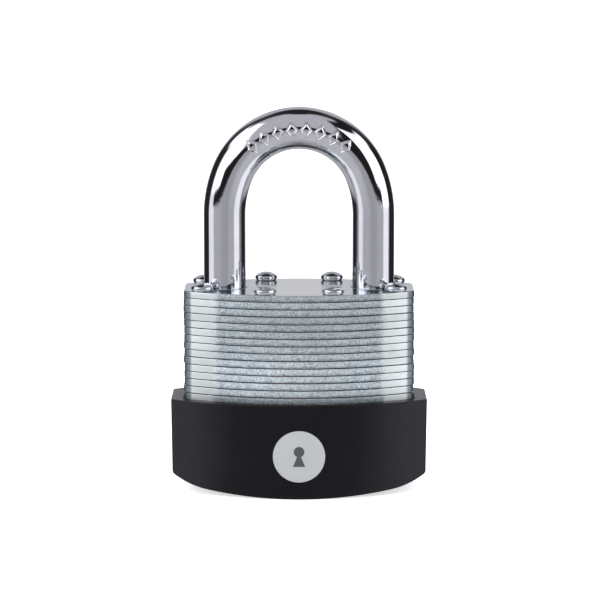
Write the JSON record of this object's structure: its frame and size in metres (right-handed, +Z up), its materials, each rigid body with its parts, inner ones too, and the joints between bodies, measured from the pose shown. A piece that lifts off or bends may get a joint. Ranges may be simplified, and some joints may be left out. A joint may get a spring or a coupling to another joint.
{
  "type": "laminated padlock",
  "caption": "Laminated steel padlock with a round-bar shackle, a riveted plate stack, a pin-tumbler cylinder and a moulded base cover.",
  "frame": {"origin": "lowest line of the arched base, under the middle of the lock", "axes": "+X across the two legs, towards the toe leg; -Y is the front with the badge; +Z up, out through the shackle's bow"},
  "size_m": [0.0558, 0.03, 0.0837],
  "materials": {
    "plate_steel": "zinc plated, sheared edges",
    "zinc_plate": "bright zinc",
    "rivet_steel": "polished domes",
    "shackle_chrome": "mirror",
    "cover_plastic": "fine moulded grain",
    "badge_print": "satin",
    "brass": "turned",
    "lock_steel": "ground",
    "spring_steel": "drawn wire",
    "cam_metal": "as cast"
  },
  "bodies": {
    "body": {"top_plate": "zinc_plate", "plate_01": "plate_steel", "plate_02": "plate_steel", "plate_03": "plate_steel", "plate_04": "plate_steel", "plate_05": "plate_steel", "plate_06": "plate_steel", "plate_07": "plate_steel", "plate_08": "plate_steel", "plate_09": "plate_steel", "plate_10": "plate_steel", "plate_11": "plate_steel", "plate_12": "plate_steel", "plate_13": "plate_steel", "plate_14": "plate_steel", "plate_15": "plate_steel", "plate_16": "plate_steel", "plate_17": "plate_steel", "plate_18": "plate_steel", "plate_19": "plate_steel", "plate_20": "plate_steel", "plate_21": "plate_steel", "plate_22": "plate_steel", "plate_23": "plate_steel", "plate_24": "plate_steel", "rivets": "rivet_steel", "base_cover": "cover_plastic", "badge": "badge_print", "cylinder_shell": "brass", "chamber_cap": "brass", "heel_pin": "lock_steel", "shackle_spring": "spring_steel", "pin_spring_1": "spring_steel", "pin_spring_2": "spring_steel", "pin_spring_3": "spring_steel", "pin_spring_4": "spring_steel", "pin_spring_5": "spring_steel"},
    "shackle": {"shackle": "shackle_chrome"},
    "plug": {"plug": "brass", "plug_clip": "spring_steel", "cam": "cam_metal"},
    "bolt_right": {"bolt_right": "lock_steel"},
    "bolt_left": {"bolt_left": "lock_steel"},
    "driver_pin_1": {"driver_pin_1": "brass"},
    "driver_pin_2": {"driver_pin_2": "brass"},
    "driver_pin_3": {"driver_pin_3": "brass"},
    "driver_pin_4": {"driver_pin_4": "brass"},
    "driver_pin_5": {"driver_pin_5": "brass"},
    "key_pin_1": {"key_pin_1": "brass"},
    "key_pin_2": {"key_pin_2": "brass"},
    "key_pin_3": {"key_pin_3": "brass"},
    "key_pin_4": {"key_pin_4": "brass"},
    "key_pin_5": {"key_pin_5": "brass"}
  },
  "joints": [
    {"name": "shackle_lift", "type": "slide", "parent": "body", "child": "shackle", "axis": [0, 0, 1], "range_m": [0, 0.0125], "deforming": ["shackle_spring"]},
    {"name": "plug_turn", "type": "hinge", "parent": "body", "child": "plug", "pos_m": [0, 0, 0.0045], "axis": [0, 0, 1], "range_deg": [0, 90]},
    {"name": "bolt_right_slide", "type": "slide", "parent": "body", "child": "bolt_right", "axis": [-1, 0, 0], "range_m": [0, 0.006]},
    {"name": "bolt_left_slide", "type": "slide", "parent": "body", "child": "bolt_left", "axis": [1, 0, 0], "range_m": [0, 0.006]},
    {"name": "driver_pin_1_slide", "type": "slide", "parent": "body", "child": "driver_pin_1", "axis": [0, 1, 0], "range_m": [0, 0.0009], "stiffness_N_per_m": 60, "springref_m": -0.006, "deforming": ["pin_spring_1"]},
    {"name": "driver_pin_2_slide", "type": "slide", "parent": "body", "child": "driver_pin_2", "axis": [0, 1, 0], "range_m": [0, 0.0009], "stiffness_N_per_m": 60, "springref_m": -0.006, "deforming": ["pin_spring_2"]},
    {"name": "driver_pin_3_slide", "type": "slide", "parent": "body", "child": "driver_pin_3", "axis": [0, 1, 0], "range_m": [0, 0.0009], "stiffness_N_per_m": 60, "springref_m": -0.006, "deforming": ["pin_spring_3"]},
    {"name": "driver_pin_4_slide", "type": "slide", "parent": "body", "child": "driver_pin_4", "axis": [0, 1, 0], "range_m": [0, 0.0009], "stiffness_N_per_m": 60, "springref_m": -0.006, "deforming": ["pin_spring_4"]},
    {"name": "driver_pin_5_slide", "type": "slide", "parent": "body", "child": "driver_pin_5", "axis": [0, 1, 0], "range_m": [0, 0.0009], "stiffness_N_per_m": 60, "springref_m": -0.006, "deforming": ["pin_spring_5"]},
    {"name": "key_pin_1_slide", "type": "slide", "parent": "plug", "child": "key_pin_1", "axis": [0, -1, 0], "range_m": [0, 0.0021]},
    {"name": "key_pin_2_slide", "type": "slide", "parent": "plug", "child": "key_pin_2", "axis": [0, -1, 0], "range_m": [0, 0.0013]},
    {"name": "key_pin_3_slide", "type": "slide", "parent": "plug", "child": "key_pin_3", "axis": [0, -1, 0], "range_m": [0, 0.0025]},
    {"name": "key_pin_4_slide", "type": "slide", "parent": "plug", "child": "key_pin_4", "axis": [0, -1, 0], "range_m": [0, 0.0009]},
    {"name": "key_pin_5_slide", "type": "slide", "parent": "plug", "child": "key_pin_5", "axis": [0, -1, 0], "range_m": [0, 0.0017]}
  ],
  "couplings": [
    {"joint": "plug_turn", "follows": "shackle_lift", "rad_per_m": 125.66},
    {"joint": "bolt_right_slide", "follows": "shackle_lift", "ratio": 0.4799},
    {"joint": "bolt_left_slide", "follows": "shackle_lift", "ratio": 0.4799}
  ]
}
